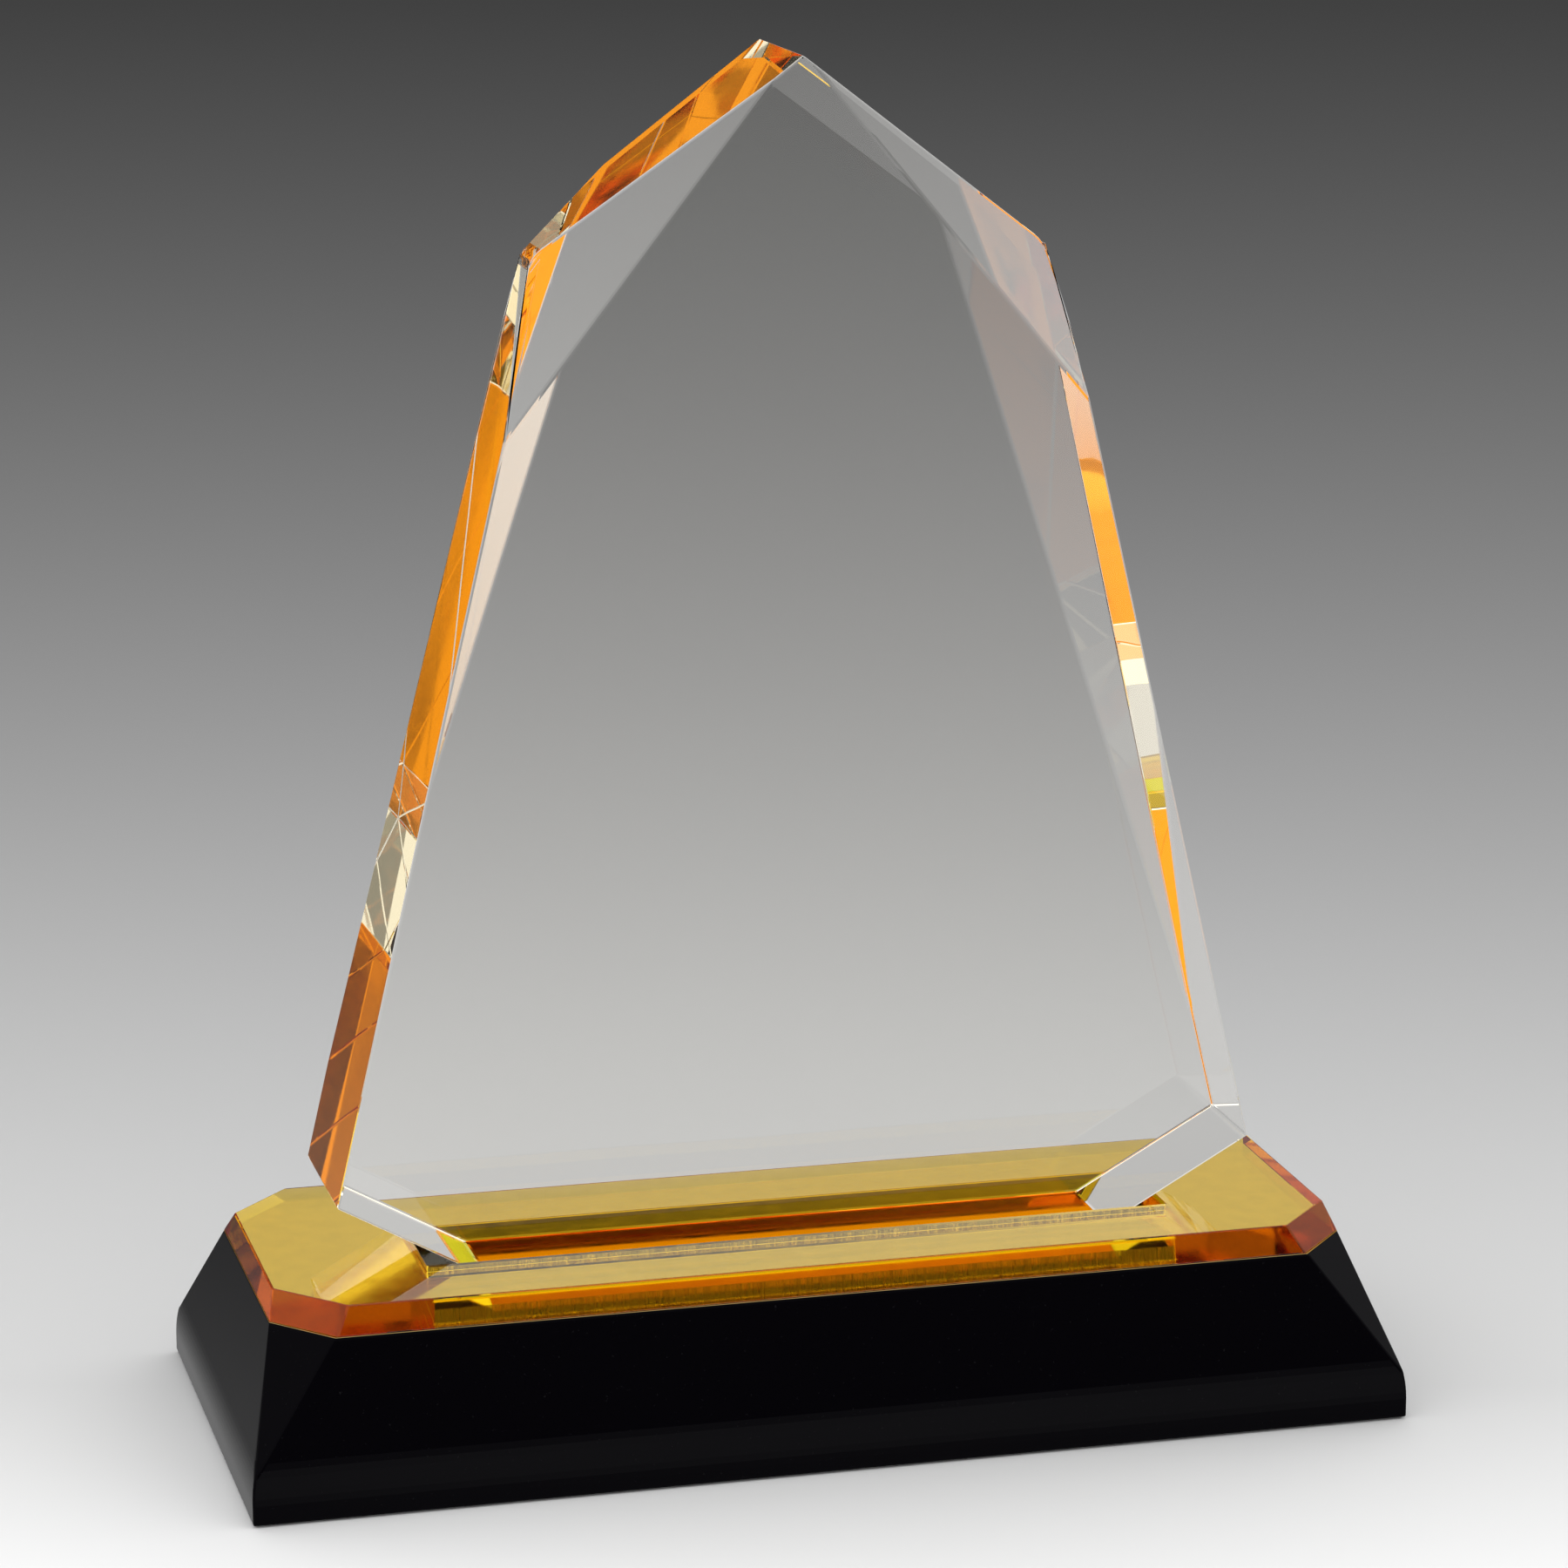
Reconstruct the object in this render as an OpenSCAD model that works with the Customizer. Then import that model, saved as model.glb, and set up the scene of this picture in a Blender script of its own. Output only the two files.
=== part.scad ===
// Faceted acrylic award: a clear upright plate bonded through the slot of an
// amber top plate onto a black block. Millimetres, +Z up. The origin is on the
// resting plane, under the middle of the base. The front of the award faces -Y.

/* [Upright] */
// Thickness of the clear plate
upright_t = 19; // [14:0.5:24]
// Height of the apex above the resting plane
apex_z = 148.2; // [135:0.1:170]
// Half width at the shoulders
shoulder_x = 27.7; // [24:0.1:31]
// Height of the shoulders
shoulder_z = 127.4; // [122:0.1:131]
// Rounding radius of the shoulders
shoulder_r = 4; // [1:0.5:8]
// Half width at the lower corners
corner_x = 51; // [46:0.1:53]
// Height of the lower corners
corner_z = 27.8; // [25:0.1:34]
// Half width of the flat foot that stands in the slot
foot_x = 34.9; // [28:0.1:38]

/* [Front facets] */
// Sideways distance from the apex where the left facet starts
front_left_start_x = 3.1; // [0.5:0.1:10]
// Height where the left facet runs out on the side
front_left_end_z = 109; // [90:0.5:118]
// Depth of the left facet at the shoulder
front_left_depth = 6.3; // [2:0.1:8]
// Sideways distance from the apex where the right facet starts
front_right_start_x = 1.2; // [0.5:0.1:10]
// Height where the right facet runs out on the side
front_right_end_z = 111; // [90:0.5:118]
// Depth of the right facet at the shoulder
front_right_depth = 4.6; // [2:0.1:8]

/* [Back facets] */
// Sideways distance from the apex where the long side facets start
back_start_x = 16.2; // [10:0.1:22]
// Height where the long side facets run out on the sides
back_end_z = 37.7; // [30:0.1:60]
// Depth of the left side facet at the shoulder
back_left_depth = 8.1; // [2:0.1:9]
// Depth of the right side facet at the shoulder
back_right_depth = 5.3; // [2:0.1:9]
// Height of the bevel along each top edge
top_bevel_h = 4.4; // [2:0.1:8]
// Depth of the bevel along each top edge
top_bevel_depth = 0.7; // [0.3:0.1:3]

/* [Amber plate] */
// Thickness of the amber plate
plate_t = 2.7; // [2:0.1:5]
// Width of its top face
plate_w = 117.3; // [112:0.1:118.5]
// Depth of its top face
plate_d = 40.5; // [34:0.1:43]
// Corner cut of its top face along the width
plate_cut_x = 6.8; // [3:0.1:12]
// Corner cut of its top face along the depth
plate_cut_y = 7.3; // [3:0.1:12]
// Length of the slot
slot_l = 83; // [78:0.5:96]
// Gap between the upright and each long side of the slot
slot_gap = 0.2; // [0.1:0.05:0.5]
// Thickness of the mirror films under the plate and under the upright
film_t = 0.1; // [0.05:0.05:0.3]

/* [Black block] */
// Width at the bottom
block_w = 127; // [120:0.5:140]
// Depth at the bottom
block_d = 55.5; // [48:0.5:64]
// Width of the top face
top_w = 119; // [110:0.5:126]
// Depth of the top face
top_d = 44.5; // [38:0.5:54]
// Corner cut of the top face along the width
top_cut_x = 5.9; // [2:0.1:12]
// Corner cut of the top face along the depth
top_cut_y = 6.6; // [2:0.1:12]
// Height of the top face above the resting plane
top_z = 18; // [14:0.5:24]
// Height where the sloping sides turn upright
plinth_z = 4.6; // [3:0.1:7]
// Radius of that turn
plinth_r = 15; // [2:0.5:18]

/* [Pads] */
// Thickness of the bonding pad between the block and the mirrored foot
bond_t = 0.7; // [0.2:0.1:2]
// Margin of the bonding pad inside the foot of the upright
bond_margin = 0.5; // [0.2:0.1:2]
// Thickness of the felt pad under the block
felt_t = 1.2; // [0.8:0.1:2]
// How far the felt stands out of the block
felt_proud = 0.2; // [0.1:0.1:0.6]
// Margin of the felt inside the bottom of the block
felt_margin = 3; // [2:0.5:10]
// Gap between the felt and the wall of its recess
felt_gap = 0.25; // [0.1:0.05:0.5]

/* [Hidden] */
$fn = 64;
foot_z = top_z + bond_t + film_t;
plate_z = top_z + film_t;
slot_w = upright_t + 2 * slot_gap;
half_t = upright_t / 2;
cutter = 2 * apex_z;
apex = [0, apex_z];
shoulder = [shoulder_x, shoulder_z];
corner = [corner_x, corner_z];

function unit(v) = v / norm(v);

// A point of a flat drawing, set upright in the plane at depth y
function upright_point(p, y) = [p.x, y, p.y];

// The same point on the left (side = -1) or on the right (side = 1)
function on_side(p, side) = [side * p.x, p.y];

// The point at distance x from the middle on the line from a to b
function at_x(a, b, x) = a + (b - a) * (x - a.x) / (b.x - a.x);

// The point at height z on the line from a to b
function at_z(a, b, z) = a + (b - a) * (z - a.y) / (b.y - a.y);

// Everything outside the plane through three points
module beyond(a, b, c, outward) {
    normal = unit(cross(b - a, c - a));
    n = normal * outward > 0 ? normal : -normal;
    u = unit(b - a);
    v = cross(n, u);
    multmatrix([
        [u.x, v.x, n.x, a.x],
        [u.y, v.y, n.y, a.y],
        [u.z, v.z, n.z, a.z],
        [0, 0, 0, 1]
    ])
        translate([-cutter, -cutter, 0])
            cube([2 * cutter, 2 * cutter, cutter]);
}

// The tip that rounding a drawing's corner takes away
module corner_waste(before, tip, after, r) {
    back = unit(before - tip);
    ahead = unit(after - tip);
    half_angle = acos(back * ahead) / 2;
    reach = r / tan(half_angle);
    difference() {
        polygon([tip, tip + reach * back, tip + reach * ahead]);
        translate(tip + r / sin(half_angle) * unit(back + ahead))
            circle(r);
    }
}

// Drawing of the upright, seen from the front
module upright_outline() {
    right = [apex, shoulder, corner, [foot_x, foot_z]];
    left = [for (i = [3:-1:1]) on_side(right[i], -1)];
    difference() {
        polygon(concat(right, left));
        for (side = [-1, 1])
            corner_waste(apex, on_side(shoulder, side), on_side(corner, side), shoulder_r);
    }
}

// Facet that takes one shoulder off the front (face = -1) or the back (face = 1)
module shoulder_facet(side, face, start_x, end_z, depth) {
    start = on_side(at_x(apex, shoulder, start_x), side);
    end = on_side(at_z(shoulder, corner, end_z), side);
    beyond(
        upright_point(start, face * half_t),
        upright_point(end, face * half_t),
        upright_point(on_side(shoulder, side), face * (half_t - depth)),
        [0, face, 0]
    );
}

// Bevel along one top edge of the back
module top_bevel(side) {
    drop = [0, -top_bevel_h];
    beyond(
        upright_point(apex + drop, half_t),
        upright_point(on_side(shoulder, side) + drop, half_t),
        upright_point(on_side(shoulder, side), half_t - top_bevel_depth),
        [0, 1, 0]
    );
}

module upright() {
    color("lightgray", 0.5)
        difference() {
            rotate([90, 0, 0])
                linear_extrude(upright_t, center = true)
                    upright_outline();
            shoulder_facet(-1, -1, front_left_start_x, front_left_end_z, front_left_depth);
            shoulder_facet(1, -1, front_right_start_x, front_right_end_z, front_right_depth);
            shoulder_facet(-1, 1, back_start_x, back_end_z, back_left_depth);
            shoulder_facet(1, 1, back_start_x, back_end_z, back_right_depth);
            for (side = [-1, 1])
                top_bevel(side);
        }
}

// Rectangle w by d, centred, with its four corners cut off
module cut_rectangle(w, d, cut_x, cut_y) {
    difference() {
        square([w, d], center = true);
        for (sx = [-1, 1], sy = [-1, 1])
            scale([sx, sy])
                polygon([[w / 2, d / 2], [w / 2 - cut_x, d / 2], [w / 2, d / 2 - cut_y]]);
    }
}

module slot(z, h) {
    translate([-slot_l / 2, -slot_w / 2, z])
        cube([slot_l, slot_w, h]);
}

module amber_plate() {
    high_z = plate_z + plate_t;
    color("goldenrod", 0.8)
        difference() {
            translate([0, 0, plate_z])
                linear_extrude(plate_t)
                    square([top_w, top_d], center = true);
            for (s = [-1, 1]) {
                beyond([s * top_w / 2, 0, plate_z], [s * top_w / 2, 1, plate_z],
                    [s * plate_w / 2, 0, high_z], [s, 0, 0]);
                beyond([0, s * top_d / 2, plate_z], [1, s * top_d / 2, plate_z],
                    [0, s * plate_d / 2, high_z], [0, s, 0]);
            }
            for (sx = [-1, 1], sy = [-1, 1])
                beyond(
                    [sx * (plate_w / 2 - plate_cut_x), sy * plate_d / 2, high_z],
                    [sx * plate_w / 2, sy * (plate_d / 2 - plate_cut_y), high_z],
                    [sx * top_w / 2, sy * (top_d / 2 - top_cut_y), plate_z],
                    [sx, sy, 0]
                );
            slot(plate_z - 1, plate_t + 2);
        }
}

module plate_mirror() {
    color("gold")
        difference() {
            translate([0, 0, top_z])
                linear_extrude(film_t)
                    cut_rectangle(top_w, top_d, top_cut_x, top_cut_y);
            slot(top_z - 1, film_t + 2);
        }
}

// Points along the arc of radius r that rounds a corner
function round_turn(before, tip, after, r, steps) =
    let (
        back = unit(before - tip),
        ahead = unit(after - tip),
        half_angle = acos(back * ahead) / 2,
        centre = tip + r / sin(half_angle) * unit(back + ahead),
        first = tip + r / tan(half_angle) * back - centre,
        last = tip + r / tan(half_angle) * ahead - centre
    )
    [for (i = [0:steps]) centre + r * unit(first + (last - first) * i / steps)];

// Side view of the black block: a plinth whose sides turn inwards to the top face
module block_profile(bottom, top) {
    low = [bottom / 2, felt_proud];
    high = [top / 2, top_z];
    right = concat([low], round_turn(low, [bottom / 2, plinth_z], high, plinth_r, 8), [high]);
    left = [for (i = [len(right) - 1:-1:0]) on_side(right[i], -1)];
    polygon(concat(right, left));
}

module black_block() {
    color("black")
        difference() {
            intersection() {
                rotate([90, 0, 0])
                    linear_extrude(block_d, center = true)
                        block_profile(block_w, top_w);
                rotate([90, 0, 90])
                    linear_extrude(block_w, center = true)
                        block_profile(block_d, top_d);
            }
            for (sx = [-1, 1], sy = [-1, 1])
                beyond(
                    [sx * (top_w / 2 - top_cut_x), sy * top_d / 2, top_z],
                    [sx * top_w / 2, sy * (top_d / 2 - top_cut_y), top_z],
                    [sx * block_w / 2, sy * block_d / 2, plinth_z],
                    [sx, sy, 0]
                );
            translate([0, 0, (felt_t - 1) / 2])
                cube([block_w - 2 * felt_margin, block_d - 2 * felt_margin, felt_t + 1], center = true);
        }
}

// Layer under the upright's foot, its lower face at height z
module foot_layer(z, h, margin) {
    translate([0, 0, z + h / 2])
        cube([2 * (foot_x - margin), upright_t - 2 * margin, h], center = true);
}

module foot_mirror() {
    color("orange")
        foot_layer(foot_z - film_t, film_t, 0);
}

module bond_pad() {
    color("saddlebrown")
        foot_layer(top_z, bond_t, bond_margin);
}

module felt_pad() {
    inset = 2 * (felt_margin + felt_gap);
    color("dimgray")
        translate([0, 0, felt_t / 2])
            cube([block_w - inset, block_d - inset, felt_t], center = true);
}

upright();
foot_mirror();
amber_plate();
plate_mirror();
black_block();
bond_pad();
felt_pad();
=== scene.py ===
import bpy
import math
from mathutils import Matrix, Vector

# Crystal award: a clear upright with a mirrored foot, in an amber plate on a
# black block. Metres, +Z up, the front faces -Y.

# The camera: direction from the award to it, its place and its lens
CAMERA_AZIMUTH = -14.646
CAMERA_ELEVATION = 13.708
CAMERA_PLACE = (-0.1382, -0.5304, 0.2025)
CAMERA_LENS = 119.72

# The paper floor: its side and its tone under the award. Its tones are painted light: a painted pool of
# light in front of the award and painted shade darkening away behind it
FLOOR_SIZE = 16
FLOOR_TONE = 0.471
# Its brightest tone, a painted pool of light, how far in front of the award that is, and how much the
# painted light dims from there to the end of its front part
FLOOR_PAINTED_LIGHT_TONE = 0.655
FLOOR_FRONT = 0.06
FLOOR_DIMMING = 0.12
FLOOR_END = 0.3
# The distance behind the award where its painted light halves, and how steeply this painted shade falls
FLOOR_REACH = 0.26
FLOOR_FALLOFF = 1.38

# The studio as seen through the award, and as mirrored in its surfaces. A patch is
# its azimuth, its elevation, the angle it fills, the angle where it ends, its tone.
STUDIO_TONE = 1.4
STUDIO_PATCHES = (
    (180, 34, 19, 25, 0.03),
    (20, 52, 16, 28, 0.62),
    (20, 38, 8, 14, 1.0),
    (-2, 8, 28, 42, 0.52),
    (12, 18, 9, 18, 0.76),
)
MIRRORED_TONE = 0.45
MIRRORED_PATCHES = (
    (-8, 4, 13, 24, 0.03),
    (165, 30, 25, 40, 0.03),
    (165, 0, 6, 20, 1.1),
)
# Even light that falls on the floor
FILL_TONE = 1.6

ACRYLIC_IOR = 1.49
WHITE = (1, 1, 1)
# What the acrylics leave of white light, and how densely they do it
CLEAR_TINT = (1.0, 0.8, 0.15)
CLEAR_DENSITY = 2.0
AMBER_TINT = (0.99, 0.98, 0.03)
AMBER_DENSITY = 290
# Colours of the mirror films, face on and at a grazing angle
AMBER_MIRROR = ((0.97, 0.37, 0.02), (0.99, 0.55, 0.04))
GOLD_MIRROR = ((0.9, 0.64, 0.26), (0.92, 0.68, 0.32))

# Where the front wall of the slot has saw marks: middle and half size along each axis
SAWN_MIDDLE = {"X": 0.0, "Y": -0.005, "Z": 0.0189}
SAWN_REACH = {"X": 0.0414, "Y": 0.0048, "Z": 0.0009}
# A film drawn in by this much no longer shares a plane with its neighbour
FILM_GAP = 0.00003
# Points closer than this are one point
WELD_DISTANCE = 0.000001
# Edges sharper than this many degrees are eased, by these widths
SHARP_ANGLE = 12
EASED_EDGES = {"upright": 0.00025, "amber_plate": 0.00015, "black_block": 0.00025}

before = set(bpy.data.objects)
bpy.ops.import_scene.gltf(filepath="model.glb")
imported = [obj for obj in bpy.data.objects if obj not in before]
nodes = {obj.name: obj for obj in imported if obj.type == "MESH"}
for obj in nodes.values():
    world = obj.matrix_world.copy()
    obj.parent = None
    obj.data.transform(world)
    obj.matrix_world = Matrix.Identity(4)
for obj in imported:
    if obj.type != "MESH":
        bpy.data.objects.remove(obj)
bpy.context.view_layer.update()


def new_material(name):
    """An empty principled material, with its node tree and its shader."""
    material = bpy.data.materials.new(name)
    material.use_nodes = True
    return material, material.node_tree, material.node_tree.nodes["Principled BSDF"]


def add_node(tree, kind, inputs=None, **settings):
    """A new node with its settings and inputs; a socket given as input is linked."""
    node = tree.nodes.new(kind)
    for name, value in settings.items():
        setattr(node, name, value)
    for key, value in (inputs or {}).items():
        if isinstance(value, bpy.types.NodeSocket):
            tree.links.new(value, node.inputs[key])
        else:
            node.inputs[key].default_value = value
    return node


def place(tree):
    """Where a point of the surface is, in metres."""
    return add_node(tree, "ShaderNodeTexCoord").outputs["Object"]


def axis(tree, vector, name):
    """One axis of a vector."""
    return add_node(tree, "ShaderNodeSeparateXYZ", {"Vector": vector}).outputs[name]


def math_node(tree, operation, a, b=0.0):
    """One arithmetic step."""
    return add_node(tree, "ShaderNodeMath", {0: a, 1: b}, operation=operation).outputs[0]


def within(tree, value, middle, reach):
    """1 where the value is no further from the middle than the reach, else 0."""
    inputs = {0: value, 1: middle, 2: reach}
    return add_node(tree, "ShaderNodeMath", inputs, operation="COMPARE").outputs[0]


def noise(tree, scale, detail=3.0, stretch=(1, 1, 1)):
    """Noise between 0 and 1, with cells of about 1 / scale metres."""
    spread = add_node(tree, "ShaderNodeMapping", {"Vector": place(tree), "Scale": stretch})
    inputs = {"Vector": spread.outputs[0], "Scale": scale, "Detail": detail}
    return add_node(tree, "ShaderNodeTexNoise", inputs).outputs["Fac"]


def remap(tree, value, low, high, to_low, to_high, smooth=False):
    """Value moved from one range to another, held at both ends."""
    kind = "SMOOTHSTEP" if smooth else "LINEAR"
    inputs = {"Value": value, "From Min": low, "From Max": high, "To Min": to_low, "To Max": to_high}
    return add_node(tree, "ShaderNodeMapRange", inputs, interpolation_type=kind).outputs[0]


def mix_colors(tree, factor, a, b):
    """Colour a where the factor is 0, colour b where it is 1."""
    # The node has a set of sockets for each data type: 0, 6 and 7 are the ones for colours
    inputs = {0: factor, 6: (*a, 1), 7: (*b, 1)}
    return add_node(tree, "ShaderNodeMix", inputs, data_type="RGBA").outputs[2]


def drive(tree, shader, values):
    """Link each value to the shader input of that name."""
    for name, value in values.items():
        tree.links.new(value, shader.inputs[name])


def bump(tree, shader, height, distance):
    """Raise the surface by the height times the distance."""
    relief = add_node(tree, "ShaderNodeBump", {"Height": height, "Distance": distance})
    drive(tree, shader, {"Normal": relief.outputs[0]})


def acrylic(name, tint, density):
    """Clear or tinted cast acrylic, with a faint polishing haze for its roughness."""
    material, tree, shader = new_material(name)
    shader.inputs["Transmission Weight"].default_value = 1
    shader.inputs["IOR"].default_value = ACRYLIC_IOR
    shader.inputs["Base Color"].default_value = (*WHITE, 1)
    inside = {"Color": (*tint, 1), "Density": density}
    volume = add_node(tree, "ShaderNodeVolumeAbsorption", inside)
    tree.links.new(volume.outputs[0], tree.nodes["Material Output"].inputs["Volume"])
    haze = remap(tree, noise(tree, 90, 4.0), 0.45, 0.75, 0.0, 0.02)
    return material, tree, shader, haze


def clear_acrylic():
    """Water-clear acrylic, its polished faces very slightly wavy."""
    material, tree, shader, haze = acrylic("clear acrylic", CLEAR_TINT, CLEAR_DENSITY)
    drive(tree, shader, {"Roughness": haze})
    bump(tree, shader, noise(tree, 45, 1.0), 0.00002)
    return material


def amber_acrylic():
    """Amber acrylic with a band of saw marks on the front wall of its slot."""
    material, tree, shader, haze = acrylic("amber acrylic", AMBER_TINT, AMBER_DENSITY)
    here = place(tree)
    wall = 1.0
    for name in "XYZ":
        in_range = within(tree, axis(tree, here, name), SAWN_MIDDLE[name], SAWN_REACH[name])
        wall = math_node(tree, "MULTIPLY", wall, in_range)
    streaks = noise(tree, 3000, 2.0, (1, 1, 0.06))
    sawn = math_node(tree, "MULTIPLY", wall, remap(tree, streaks, 0.35, 0.65, 0.5, 1.0))
    color = mix_colors(tree, sawn, WHITE, (0.5, 0.38, 0.25))
    clearness = remap(tree, sawn, 0.0, 1.0, 1.0, 0.3)
    roughness = math_node(tree, "ADD", math_node(tree, "MULTIPLY", sawn, 0.5), haze)
    drive(tree, shader, {"Base Color": color, "Transmission Weight": clearness, "Roughness": roughness})
    bump(tree, shader, math_node(tree, "MULTIPLY", wall, streaks), 0.0003)
    return material


def mirror_film(name, colors):
    """Metallised film, its coating slightly mottled."""
    material, tree, shader = new_material(name)
    face_on, grazing = colors
    mottling = noise(tree, 400)
    darker = [0.94 * channel for channel in face_on]
    color = mix_colors(tree, remap(tree, mottling, 0.35, 0.65, 0.0, 1.0), darker, face_on)
    roughness = remap(tree, mottling, 0.3, 0.7, 0.03, 0.08)
    drive(tree, shader, {"Base Color": color, "Roughness": roughness})
    shader.inputs["Metallic"].default_value = 1
    shader.inputs["Specular Tint"].default_value = (*grazing, 1)
    return material


def black_acrylic():
    """Opaque black acrylic, buffed to a gloss that still shows fine haze and a little dust."""
    material, tree, shader = new_material("black acrylic")
    dust = remap(tree, noise(tree, 2600, 2.0), 0.7, 0.8, 0.0, 1.0)
    color = mix_colors(tree, dust, (0.0012, 0.001, 0.0016), (0.006, 0.006, 0.0065))
    haze = remap(tree, noise(tree, 70, 5.0), 0.35, 0.7, 0.03, 0.11)
    roughness = math_node(tree, "ADD", haze, math_node(tree, "MULTIPLY", dust, 0.2))
    drive(tree, shader, {"Base Color": color, "Roughness": roughness})
    shader.inputs["IOR"].default_value = ACRYLIC_IOR
    shader.inputs["Specular IOR Level"].default_value = 0.05
    bump(tree, shader, noise(tree, 30, 1.0), 0.00004)
    return material


def cured_bond():
    """Dark cured adhesive with small voids."""
    material, tree, shader = new_material("cured bond")
    lumps = noise(tree, 900, 4.0)
    share = remap(tree, lumps, 0.4, 0.6, 0.0, 1.0)
    color = mix_colors(tree, share, (0.012, 0.006, 0.005), (0.03, 0.014, 0.01))
    roughness = remap(tree, lumps, 0.3, 0.7, 0.35, 0.65)
    drive(tree, shader, {"Base Color": color, "Roughness": roughness})
    bump(tree, shader, lumps, 0.0001)
    return material


def felt():
    """Black pressed felt with a short fuzzy nap."""
    material, tree, shader = new_material("felt")
    fibres = noise(tree, 2200, 6.0)
    share = remap(tree, fibres, 0.35, 0.65, 0.0, 1.0)
    color = mix_colors(tree, share, (0.006, 0.006, 0.007), (0.03, 0.03, 0.032))
    drive(tree, shader, {"Base Color": color})
    shader.inputs["Roughness"].default_value = 0.95
    shader.inputs["Sheen Weight"].default_value = 0.4
    shader.inputs["Sheen Roughness"].default_value = 0.5
    bump(tree, shader, fibres, 0.0003)
    return material


def dress(name, material, underside=None):
    """Give a CAD node one material, and its underside another where one is given."""
    mesh = nodes[name].data
    mesh.materials.clear()
    mesh.materials.append(material)
    if underside:
        mesh.materials.append(underside)
        for face in mesh.polygons:
            face.material_index = int(face.normal.z < -0.99)


def join_faces(name):
    """Join a CAD node's faces along their shared edges, and give its modifiers."""
    modifiers = nodes[name].modifiers
    modifiers.new("joined faces", "WELD").merge_threshold = WELD_DISTANCE
    return modifiers


def draw_in(name):
    """Draw a film's faces in, so that light inside its neighbour meets one mirror only."""
    displace = join_faces(name).new("draw in", "DISPLACE")
    displace.mid_level = 0
    displace.strength = -FILM_GAP


def ease_edges(name, width):
    """Break the sharp edges of a CAD node as hand polishing does."""
    bevel = join_faces(name).new("eased edges", "BEVEL")
    bevel.width = width
    bevel.segments = 2
    bevel.limit_method = "ANGLE"
    bevel.angle_limit = math.radians(SHARP_ANGLE)
    bevel.use_clamp_overlap = False


def heading(azimuth, elevation):
    """Unit vector towards an azimuth and elevation in degrees; azimuth 0 is straight behind."""
    azimuth, elevation = math.radians(azimuth), math.radians(elevation)
    flat = math.cos(elevation)
    return Vector((math.sin(azimuth) * flat, math.cos(azimuth) * flat, math.sin(elevation)))


def add_floor():
    """Pale paper with painted light falloff: brightest in front of the award, with painted shade
    darkening away behind it, straight away from the camera.
    """
    bpy.ops.mesh.primitive_plane_add(size=FLOOR_SIZE, rotation=(0, 0, math.radians(CAMERA_AZIMUTH)))
    floor = bpy.context.object
    floor.name = "floor"
    material, tree, shader = new_material("paper with painted light falloff")
    # This tone paints the falloff of the studio light onto the paper: a painted pool of light in front,
    # painted shade behind
    depth = axis(tree, place(tree), "Y")
    front = remap(tree, depth, -FLOOR_FRONT, 0.0, FLOOR_PAINTED_LIGHT_TONE, FLOOR_TONE)
    painted_dimming = remap(tree, depth, -FLOOR_END, -FLOOR_FRONT, FLOOR_DIMMING, 0.0)
    behind = math_node(tree, "MAXIMUM", math_node(tree, "DIVIDE", depth, FLOOR_REACH), 0.0)
    falloff = math_node(tree, "ADD", math_node(tree, "POWER", behind, FLOOR_FALLOFF), 1.0)
    tone = math_node(tree, "DIVIDE", math_node(tree, "SUBTRACT", front, painted_dimming), falloff)
    painted_falloff_grey = add_node(tree, "ShaderNodeCombineColor", {"Red": tone, "Green": tone, "Blue": tone})
    drive(tree, shader, {"Base Color": painted_falloff_grey.outputs[0]})
    shader.inputs["Roughness"].default_value = 0.9
    shader.inputs["Specular IOR Level"].default_value = 0
    floor.data.materials.append(material)
    floor.visible_glossy = False


def studio_light(tree, direction, tone, patches):
    """Light from each direction: an even tone with soft round patches of other tones."""
    for azimuth, elevation, full, end, patch_tone in patches:
        vectors = {0: direction, 1: heading(azimuth, elevation)}
        product = add_node(tree, "ShaderNodeVectorMath", vectors, operation="DOT_PRODUCT")
        edge, middle = math.cos(math.radians(end)), math.cos(math.radians(full))
        share = remap(tree, product.outputs["Value"], edge, middle, 0.0, 1.0, smooth=True)
        change = math_node(tree, "MULTIPLY", share, math_node(tree, "SUBTRACT", patch_tone, tone))
        tone = math_node(tree, "ADD", tone, change)
    return tone


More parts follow.
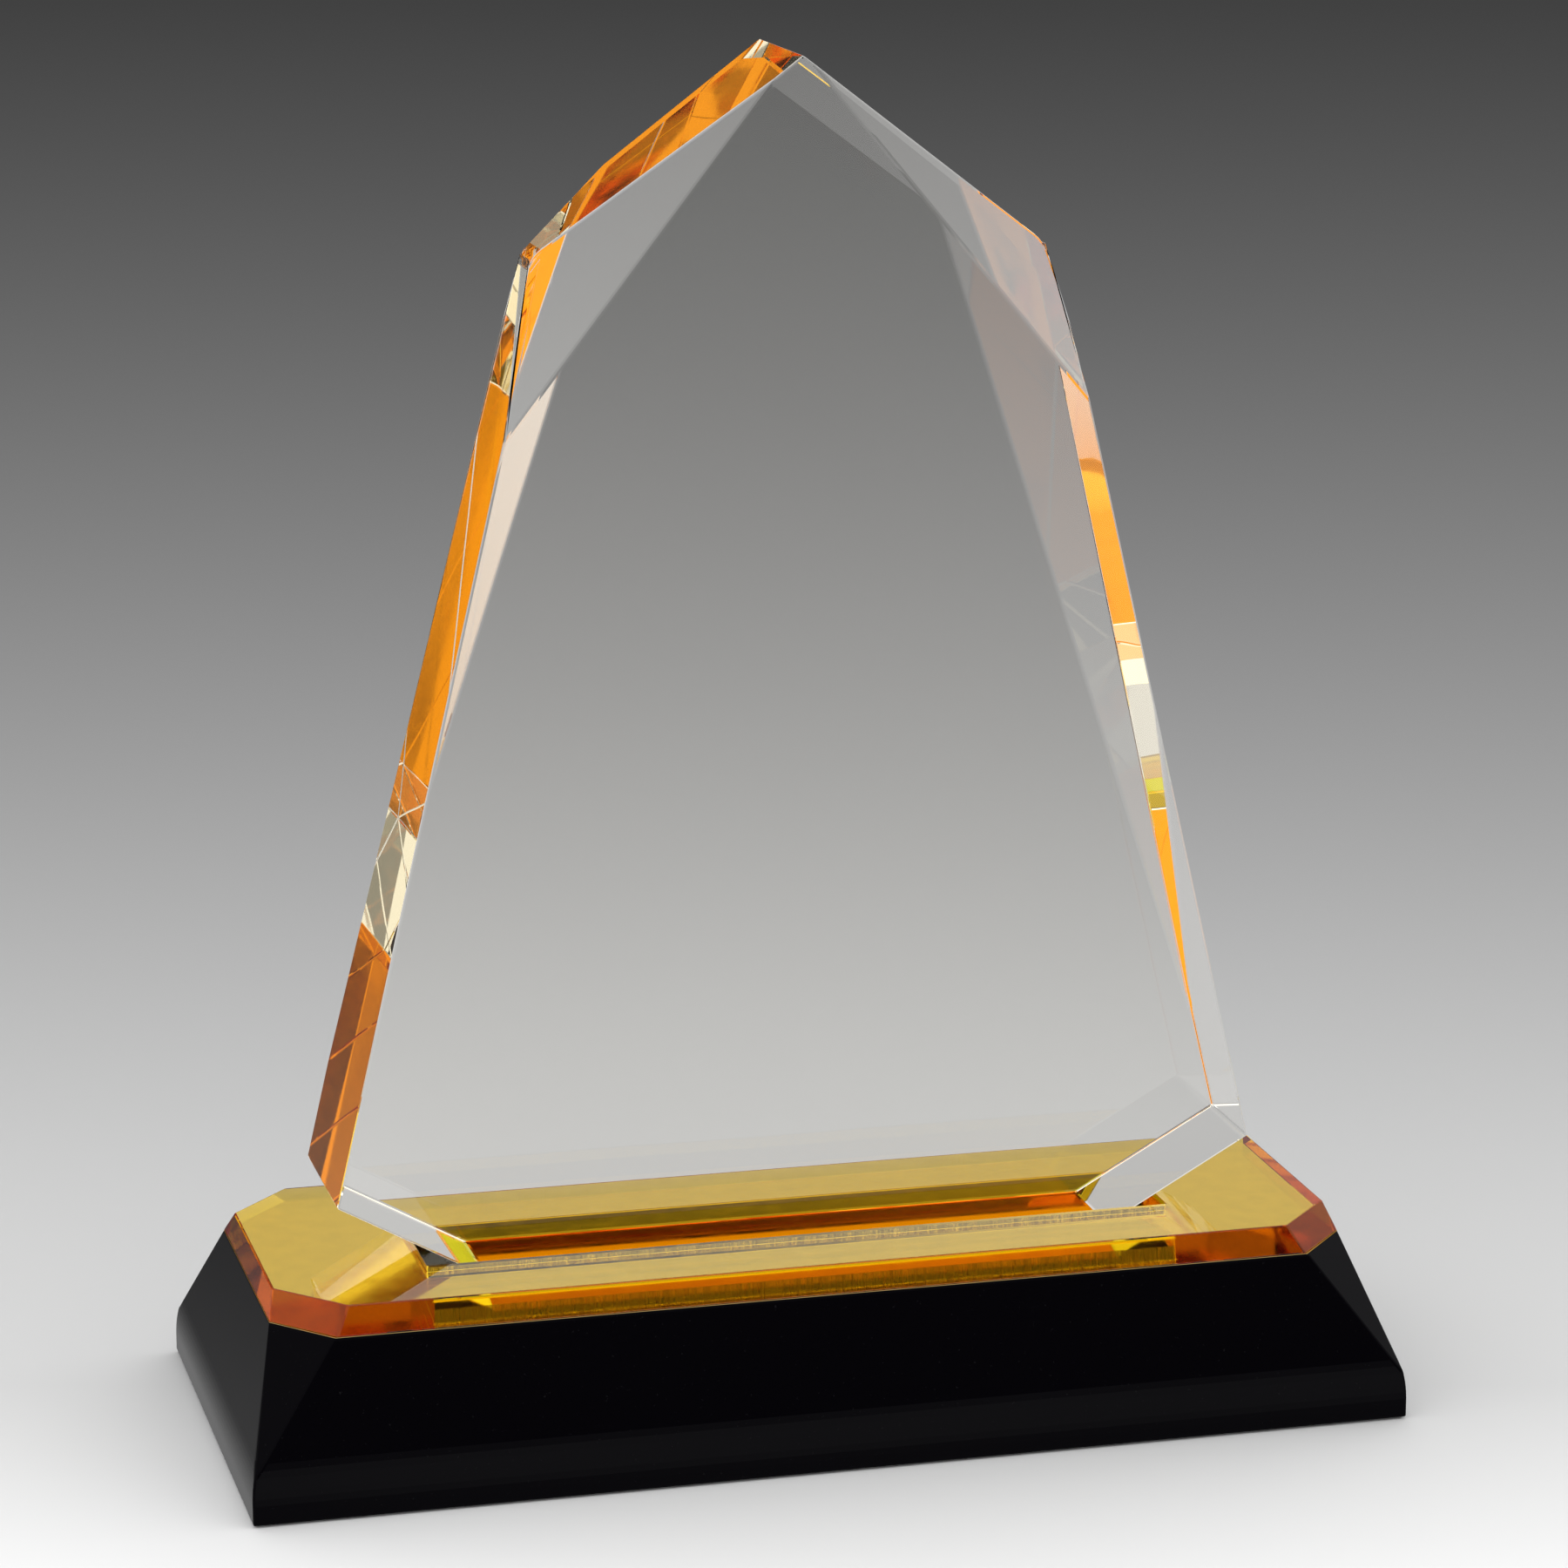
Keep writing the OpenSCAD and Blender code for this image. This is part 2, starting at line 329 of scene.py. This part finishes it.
def add_world():
    """Soft studio light, held back in reflections as black cards around the set would."""
    world = bpy.data.worlds.new("studio")
    bpy.context.scene.world = world
    world.use_nodes = True
    tree = world.node_tree
    direction = add_node(tree, "ShaderNodeTexCoord").outputs["Generated"]
    seen_through = studio_light(tree, direction, STUDIO_TONE, STUDIO_PATCHES)
    mirrored = studio_light(tree, direction, MIRRORED_TONE, MIRRORED_PATCHES)
    rays = add_node(tree, "ShaderNodeLightPath").outputs
    is_mirrored = math_node(tree, "SUBTRACT", rays["Is Reflection Ray"], rays["Is Diffuse Ray"])
    strength = remap(tree, rays["Is Transmission Ray"], 0.0, 1.0, FILL_TONE, seen_through)
    strength = remap(tree, is_mirrored, 0.0, 1.0, strength, mirrored)
    background = tree.nodes["Background"]
    tree.links.new(strength, background.inputs["Strength"])
    background.inputs["Color"].default_value = (*WHITE, 1)


def add_camera():
    """The camera, looking along its direction from the award."""
    towards_camera = heading(180 - CAMERA_AZIMUTH, CAMERA_ELEVATION)
    data = bpy.data.cameras.new("camera")
    data.lens = CAMERA_LENS
    camera = bpy.data.objects.new("camera", data)
    camera.location = CAMERA_PLACE
    camera.rotation_mode = "QUATERNION"
    camera.rotation_quaternion = (-towards_camera).to_track_quat("-Z", "Y")
    bpy.context.scene.collection.objects.link(camera)
    bpy.context.scene.camera = camera


def let_light_through():
    """Plain display colours, and enough bounces for light mirrored many times in the upright."""
    scene = bpy.context.scene
    scene.view_settings.view_transform = "Standard"
    scene.cycles.max_bounces = 64
    scene.cycles.transmission_bounces = 64
    scene.cycles.glossy_bounces = 32
    scene.cycles.diffuse_bounces = 3


amber_mirror = mirror_film("amber mirror", AMBER_MIRROR)
gold_mirror = mirror_film("gold mirror", GOLD_MIRROR)
dress("upright", clear_acrylic(), amber_mirror)
dress("foot_mirror", amber_mirror)
dress("amber_plate", amber_acrylic(), gold_mirror)
dress("plate_mirror", gold_mirror)
dress("black_block", black_acrylic())
dress("bond_pad", cured_bond())
dress("felt_pad", felt())
for film in ("foot_mirror", "plate_mirror"):
    draw_in(film)
for part, edge_width in EASED_EDGES.items():
    ease_edges(part, edge_width)
add_floor()
add_world()
add_camera()
let_light_through()
